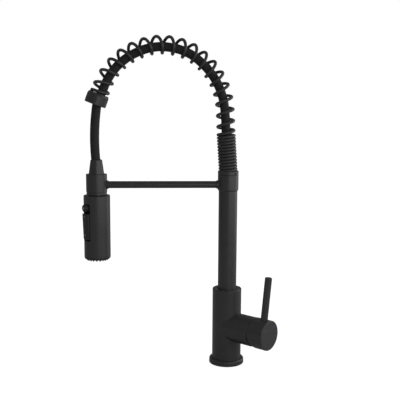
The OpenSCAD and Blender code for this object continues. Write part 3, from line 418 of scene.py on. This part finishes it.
def heading(turn):
    """The directions out of the arch and along it, where the line has turned that far."""
    return (
        Vector((math.cos(turn), 0.0, math.sin(turn))),
        Vector((-math.sin(turn), 0.0, math.cos(turn))),
    )


side = Vector((0, 1, 0))
lean_out, lean_along = heading(spring_lean)
end_out, end_along = heading(arch_end)
arch_centre = line_foot + upright * lean_along - arch_r * lean_out


def shift_at(run):
    """Distance of the sprung line outside the true arc, eased between the listed places."""
    for (near, shift), (far, next_shift) in zip(line_shifts, line_shifts[1:]):
        if run / mm < far:
            part = clamped((run / mm - near) / (far - near))
            return mm * (shift + (next_shift - shift) * (1 - math.cos(math.pi * part)) / 2)
    return mm * line_shifts[-1][1]


def on_spring_line(run):
    """Middle of the spring at that distance along it, and the directions out of it and along it."""
    round_arch = min(max(run - upright, 0.0), arch_run)
    out, along = heading(spring_lean + round_arch / arch_r)
    if run < upright:
        place = line_foot + run * along
    else:
        place = arch_centre + arch_r * out + max(run - upright - arch_run, 0.0) * along
    return place + shift_at(run) * out, out, along


seat_rise = spring_seat + wire_r + seat_gap - coil_r * math.sin(spring_lean) - line_foot.z
coil_start = seat_rise / math.cos(spring_lean)
coil_end = upright + arch_run + ferrule_top - wire_r - ferrule_gap
open_turns = turn_count - turns_close - 1
open_from = coil_start + turns_close * pitch_close + pitch_first
pitch_open = (coil_end - end_rise - open_from) / open_turns - pitch_growth * open_turns / 2


def run_at(turn):
    """Distance along the spring's line after so many turns."""
    opened = min(max(turn - turns_close - 1, 0), open_turns)
    return (
        coil_start
        + min(turn, turns_close) * pitch_close
        + clamped(turn - turns_close) * pitch_first
        + opened * (pitch_open + opened * pitch_growth / 2)
        + max(turn - turn_count, 0) * 2 * end_rise
    )


def slope_at(turn):
    """Slope of a turn: forward where it opens, then back over the arch, and square again at the ferrule."""
    back = clamped((turn - slope_from) / slope_turns)
    forward = (1 - back) * clamped(turn - turns_close)
    return clamped((turn_count - turn) / square_turns) * (back * arch_slope - forward * opening_slope)


def coil_point(turn):
    """Middle of the wire after so many turns, with the change of pitch eased over half a turn."""
    ease = min(ease_turns, last_turn - turn)
    steps = range(-ease_steps, ease_steps + 1)
    run = sum(run_at(turn + ease * step / ease_steps) for step in steps) / len(steps)
    middle, out, along = on_spring_line(run)
    angle = math.tau * turn
    shift = coil_r * slope_at(turn) * math.sin(angle)
    return middle + coil_r * (math.cos(angle) * out + math.sin(angle) * side) + shift * along


def bend(corner, coming, going, radius, steps=5):
    """Points of a quarter bend round a square corner."""
    middle = corner + radius * (going - coming)
    turns = [math.pi / 2 * step / steps for step in range(steps + 1)]
    return [middle + radius * (math.sin(t) * coming - math.cos(t) * going) for t in turns]


first_step = -round(ground_turns * points_per_turn)
last_step = round(last_turn * points_per_turn)
coil = [coil_point(step / points_per_turn) for step in range(first_step, last_step + 1)]
# the last two points of the coil make way for the bend into the ferrule
wire_path = [
    *coil[:-2],
    *bend(coil[-1], side, end_along, tail_bend),
    coil[-1] + tail_length * end_along,
]


def make_sweep():
    """Geometry Nodes that sweep a round section along a path and close both ends."""
    group = bpy.data.node_groups.new("round section along a path", "GeometryNodeTree")
    face = group.interface
    face.new_socket("Path", in_out="INPUT", socket_type="NodeSocketGeometry")
    for name, kind in (
        ("Radius", "NodeSocketFloat"),
        ("Sides", "NodeSocketInt"),
        ("Finish", "NodeSocketMaterial"),
    ):
        face.new_socket(name, in_out="INPUT", socket_type=kind)
    face.new_socket("Mesh", in_out="OUTPUT", socket_type="NodeSocketGeometry")
    add = lay_nodes(group)
    given = add("NodeGroupInput").outputs
    section = add(
        "GeometryNodeCurvePrimitiveCircle",
        {"Resolution": given["Sides"], "Radius": given["Radius"]},
    )
    tube = add(
        "GeometryNodeCurveToMesh",
        {"Curve": given["Path"], "Profile Curve": section.outputs["Curve"], "Fill Caps": True},
    )
    smooth = add("GeometryNodeSetShadeSmooth", {0: tube.outputs["Mesh"]})
    real = add("GeometryNodeRealizeInstances", {0: smooth.outputs[0]})
    finished = add("GeometryNodeSetMaterial", {0: real.outputs[0], "Material": given["Finish"]})
    add("NodeGroupOutput", {0: finished.outputs[0]})
    return group


sweep = make_sweep()


def sweep_piece(name, path, radius, sides, finish):
    """A plain mesh object: a round section swept along the path."""
    line = bpy.data.curves.new(name, "CURVE")
    line.dimensions = "3D"
    spline = line.splines.new("POLY")
    spline.points.add(len(path) - 1)
    spline.points.foreach_set("co", [value for point in path for value in (*point, 1.0)])
    drawn = bpy.data.objects.new(name + "_path", line)
    collection.objects.link(drawn)
    modifier = drawn.modifiers.new("sweep", "NODES")
    modifier.node_group = sweep
    sockets = {item.name: item.identifier for item in sweep.interface.items_tree}
    modifier[sockets["Radius"]] = radius
    modifier[sockets["Sides"]] = sides
    modifier[sockets["Finish"]] = finish
    graph = bpy.context.evaluated_depsgraph_get()
    mesh = bpy.data.meshes.new_from_object(drawn.evaluated_get(graph), depsgraph=graph)
    mesh.name = name
    bpy.data.objects.remove(drawn)
    bpy.data.curves.remove(line)
    piece = bpy.data.objects.new(name, mesh)
    collection.objects.link(piece)
    return piece


spring_piece = sweep_piece("coil_spring", wire_path, wire_r, wire_sides, powder_coat)
for corner in spring_piece.data.vertices:
    corner.co.z = max(corner.co.z, spring_seat + ground_gap)
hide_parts("spring")
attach(spring_piece, "spout")

# --- Hose ---
# Smooth rubber hose over a woven core, crimped on brass tails in steel sleeves. It runs up inside the
# spring, leaves it through the end ferrule, and falls in a shallow bow to the cone nut on the spray
# head. Ferrule and cone nut are turned and powder coated.
hose_rubber = grained(
    "hose rubber", tone=(0.018, 0.018, 0.018), grain=1100.0, roughness=0.62, bump=0.3, specular=0.25
)
hose_r = 7.0 * mm
arch_hose_r = hose_r - 0.05 * mm
hose_sides = 40
hose_inset = 3.0 * mm
inset_from, inset_to = 85 * mm, 160 * mm
fitting_steps, bow_steps = 6, 24
ferrule_height = 17.5 * mm
ferrule_foot = ferrule_top + ferrule_height
ferrule_hold = 12.0 * mm
hose_end = Vector((-203.2, 0.0, 307.0)) * mm
cone_hold = 17.8 * mm
cone_lean = math.radians(5.0)
plumb = Vector((0, 0, -1))
dress(powder_coat, "end_ferrule", "cone_nut")
dress(turned_brass, "hose_adapter", "hose_tail")
dress(turned_steel, "crimp_lower", "crimp_upper")
dress(nitrile, "adapter_o_ring", "tail_o_ring")


def arc_points(start, heading_in, finish, count):
    """Points of the arc that leaves start along heading_in and ends at finish, without start itself."""
    chord = finish - start
    turn = 2 * heading_in.angle(chord)
    inward = (chord - chord.project(heading_in)).normalized()
    radius = chord.length / 2 / math.sin(turn / 2)
    middle = start + radius * inward
    angles = [turn * step / count for step in range(1, count + 1)]
    return [middle + radius * (math.sin(a) * heading_in - math.cos(a) * inward) for a in angles]


# from the head up: a bend in the cone nut, one long bow, and a bend inside the ferrule
bow_foot_up = Vector((-math.sin(cone_lean), 0.0, math.cos(cone_lean)))
bow_foot = hose_end - cone_hold * (plumb - bow_foot_up).normalized()
hose_exit = arch_centre + (arch_r - hose_inset) * end_out + ferrule_foot * end_along
bow = (hose_exit - bow_foot).normalized()
bow_top_up = 2 * bow_foot_up.dot(bow) * bow - bow_foot_up
hose_top = hose_exit + ferrule_hold * (bow_top_up - end_along).normalized()
drop_path = [
    hose_end,
    *arc_points(hose_end, -plumb, bow_foot, fitting_steps),
    *arc_points(bow_foot, bow_foot_up, hose_exit, bow_steps),
    *arc_points(hose_exit, bow_top_up, hose_top, fitting_steps),
]
drop_path.reverse()
drop_piece = sweep_piece("drop_hose_tube", drop_path, hose_r, hose_sides, hose_rubber)
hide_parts("drop_hose")
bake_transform(drop_piece)

# the run inside the spring starts straight up, and is a hair thinner than the free run that it meets
first_run, run_step = 16 * mm, 4 * mm
arch_path = [Vector((0.0, 0.0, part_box("arch_hose")[0][2]))]
for step in range(round(first_run / run_step), round((upright + arch_run + ferrule_top) / run_step)):
    place, out, along = on_spring_line(step * run_step)
    inset = hose_inset * clamped((step * run_step - inset_from) / (inset_to - inset_from))
    arch_path.append(place - inset * out)
arch_path.append(hose_top)
arch_piece = sweep_piece("arch_hose_tube", arch_path, arch_hose_r, hose_sides, hose_rubber)
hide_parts("arch_hose")
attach(arch_piece, "spout")

# --- Spray head ---
# Moulded shell with the same black coat, a soft tray with the rocker and the button, painted near black as
# painted shade of its recess, and a spray face with silicone nozzles round an aerator. A plastic core
# inside leads the water to either.
control_plastic = grained(
    "control plastic", tone=(0.022, 0.022, 0.023), grain=3000.0, roughness=0.5, bump=0.3, specular=0.35
)
# painted shade: the tray's near-black tone stands in for the shade that falls in the recess round the
# rocker
tray_painted_shade = grained("tray plastic with painted shade", tone=(0.006, 0.006, 0.0065), grain=2000.0, roughness=0.6, bump=0.3)
silicone = grained(
    "nozzle silicone", tone=(0.03, 0.03, 0.032), grain=900.0, roughness=0.6, bump=0.2, specular=0.3
)
dress(powder_coat, "head_shell", "head_neck")
dress(control_plastic, "mode_rocker", "pause_button", "spray_face")
dress(tray_painted_shade, "control_tray")
dress(silicone, "nozzle_mat")
dress(filled_plastic, "head_core", "check_valve", "flow_plate")
dress(turned_brass, "diverter_spool")
dress(turned_steel, "rocker_pin", "button_spring", "aerator")


def make_nozzle_rings():
    """Geometry Nodes that stand two rings of tapered nozzle tips on one level."""
    group = bpy.data.node_groups.new("two rings of nozzle tips", "GeometryNodeTree")
    face = group.interface
    for name, kind in (
        ("Middle", "NodeSocketVector"),
        ("Outer Count", "NodeSocketInt"),
        ("Outer Ring", "NodeSocketFloat"),
        ("Inner Count", "NodeSocketInt"),
        ("Inner Ring", "NodeSocketFloat"),
        ("Tip", "NodeSocketFloat"),
        ("Foot", "NodeSocketFloat"),
        ("Length", "NodeSocketFloat"),
        ("Finish", "NodeSocketMaterial"),
    ):
        face.new_socket(name, in_out="INPUT", socket_type=kind)
    face.new_socket("Mesh", in_out="OUTPUT", socket_type="NodeSocketGeometry")
    add = lay_nodes(group)
    given = add("NodeGroupInput").outputs
    tip = add(
        "GeometryNodeMeshCone",
        {
            "Vertices": 16,
            "Radius Top": given["Foot"],
            "Radius Bottom": given["Tip"],
            "Depth": given["Length"],
        },
    )
    rings = add("GeometryNodeJoinGeometry")
    for count, ring in (("Outer Count", "Outer Ring"), ("Inner Count", "Inner Ring")):
        circle = add("GeometryNodeMeshCircle", {"Vertices": given[count], "Radius": given[ring]})
        tips = add(
            "GeometryNodeInstanceOnPoints",
            {"Points": circle.outputs["Mesh"], "Instance": tip.outputs["Mesh"]},
        )
        group.links.new(tips.outputs["Instances"], rings.inputs[0])
    placed = add(
        "GeometryNodeTransform",
        {"Geometry": rings.outputs[0], "Translation": given["Middle"]},
    )
    real = add("GeometryNodeRealizeInstances", {0: placed.outputs[0]})
    finished = add("GeometryNodeSetMaterial", {0: real.outputs[0], "Material": given["Finish"]})
    add("NodeGroupOutput", {0: finished.outputs[0]})
    return group


nozzle_rings = make_nozzle_rings()
blank = bpy.data.objects.new("nozzle_start", bpy.data.meshes.new("nozzle_start"))
collection.objects.link(blank)
rings_modifier = blank.modifiers.new("nozzles", "NODES")
rings_modifier.node_group = nozzle_rings
nozzle_sockets = {item.name: item.identifier for item in nozzle_rings.interface.items_tree}
for socket, value in (
    ("Middle", (hose_end.x, 0.0, 168.5 * mm)),
    ("Outer Count", 20),
    ("Outer Ring", 15.6 * mm),
    ("Inner Count", 12),
    ("Inner Ring", 12.0 * mm),
    ("Tip", 0.75 * mm),
    ("Foot", 1.15 * mm),
    ("Length", 3.2 * mm),
    ("Finish", silicone),
):
    rings_modifier[nozzle_sockets[socket]] = value
blank_graph = bpy.context.evaluated_depsgraph_get()
nozzle_mesh = bpy.data.meshes.new_from_object(blank.evaluated_get(blank_graph), depsgraph=blank_graph)
nozzle_mesh.name = "nozzle_tips"
bpy.data.objects.remove(blank)
nozzle_tips = bpy.data.objects.new("nozzle_tips", nozzle_mesh)
collection.objects.link(nozzle_tips)
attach(nozzle_tips, "head")

# --- Marks and a painted highlight on the controls ---
# Two pad-printed silver dots on the rocker show which end gives spray and which gives a stream. A third,
# pale disc on the middle of the button is a painted highlight of its dome.
silver_print_and_painted_highlight = grained(
    "silver print and painted highlight", tone=(0.22, 0.22, 0.225), grain=2500.0, roughness=0.45, bump=0.1, dust=0.0
)
control_angle = math.radians(217.0)
control_way = Vector((math.cos(control_angle), math.sin(control_angle), 0.0))
clear_of_head = 60 * mm
ink_sunk, ink_proud = 0.3 * mm, 0.08 * mm
dot_sides = 28
for mark_name, carrier_node, body, mark_z, mark_r in (
    ("spray_dot", "mode_rocker", "rocker", 238.0 * mm, 1.3 * mm),
    ("stream_dot", "mode_rocker", "rocker", 209.5 * mm, 1.3 * mm),
    # painted highlight: the pale disc on the button stands in for the highlight on its dome, not a print
    ("button_painted_highlight", "pause_button", "button", 251.4 * mm, 1.7 * mm),
):
    outside = Vector((hose_end.x, 0.0, mark_z)) + clear_of_head * control_way
    _, spot, outward, _ = nodes[carrier_node].ray_cast(outside, -control_way)
    ink = [spot - ink_sunk * outward, spot + ink_proud * outward]
    dot = sweep_piece(mark_name, ink, mark_r, dot_sides, silver_print_and_painted_highlight)
    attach(dot, body)
